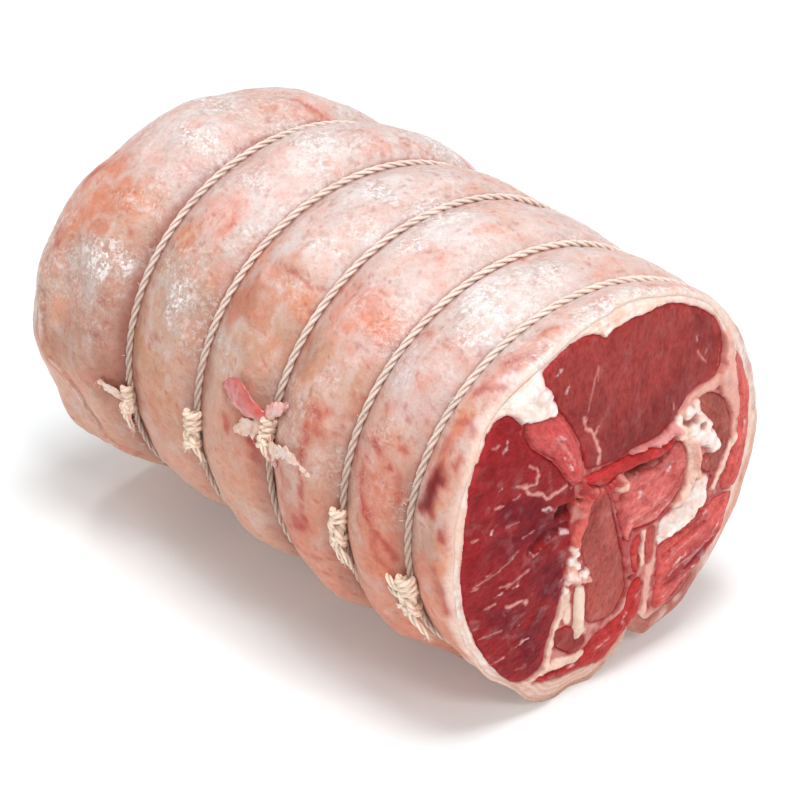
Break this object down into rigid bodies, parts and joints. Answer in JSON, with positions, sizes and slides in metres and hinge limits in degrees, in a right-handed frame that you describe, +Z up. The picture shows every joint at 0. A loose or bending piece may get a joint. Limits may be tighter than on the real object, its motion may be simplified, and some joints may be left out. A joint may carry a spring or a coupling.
{
  "type": "rolled and tied meat joint",
  "caption": "Raw boned meat joint rolled in its fat cover and tied with twine, with the muscles and inner fat showing at the cut face.",
  "frame": {"origin": "under the middle of the roll, on the plane it rests on", "axes": "+X along the roll towards the cut face, +Y across it towards the far flank, +Z up"},
  "size_m": [0.2032, 0.1392, 0.1261],
  "materials": {
    "fat": "raw fat and skin, wet and glossy",
    "red_meat": "raw dark red muscle, wet",
    "pink_meat": "raw pinkish muscle with fine pale grain, wet",
    "tendon": "pale connective tissue, wet",
    "twine": "three-strand twisted cotton twine"
  },
  "bodies": {
    "root": {"fat_cover": "fat", "tendon": "tendon", "eye_muscle": "red_meat", "left_muscle": "red_meat", "tongue_muscle": "red_meat", "centre_muscle": "pink_meat", "lower_centre_muscle": "pink_meat", "bottom_strip": "red_meat", "curl_strip": "red_meat", "inner_curl": "red_meat", "inner_strip_1": "red_meat", "inner_strip_2": "red_meat", "brown_muscle": "pink_meat", "flank_strip": "red_meat", "lower_right_muscle": "red_meat", "twine_1": "twine", "twine_2": "twine", "twine_3": "twine", "twine_4": "twine", "twine_5": "twine"}
  },
  "joints": []
}
